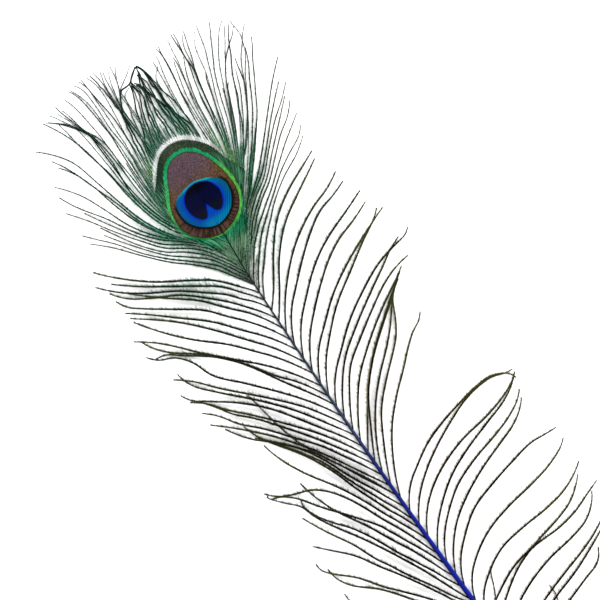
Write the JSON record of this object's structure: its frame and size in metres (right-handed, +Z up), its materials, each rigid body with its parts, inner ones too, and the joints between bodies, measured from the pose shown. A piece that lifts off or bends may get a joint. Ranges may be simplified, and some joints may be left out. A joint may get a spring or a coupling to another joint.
{
  "type": "peacock feather",
  "caption": "Peacock train feather with its eye, a dense vane around it and long loose barbs down both sides of a bowed, tapering shaft, lying face up.",
  "frame": {"origin": "middle of the feather's bounding box, on the surface that it lies on", "axes": "+Y along the shaft towards the eye and the tip, +X across the vane, +Z up out of the face that shows the eye"},
  "size_m": [0.1543, 0.4144, 0.0046],
  "materials": {
    "feather": "soft dark green-black barbs with olive ends and a satin sheen",
    "eye": "satin, iridescent: blue-black spot, blue and turquoise, bronze brown and bright green rings",
    "shaft": "smooth satin horn, deep blue, darker towards the eye"
  },
  "bodies": {
    "root": {"feather": "feather"}
  },
  "joints": []
}
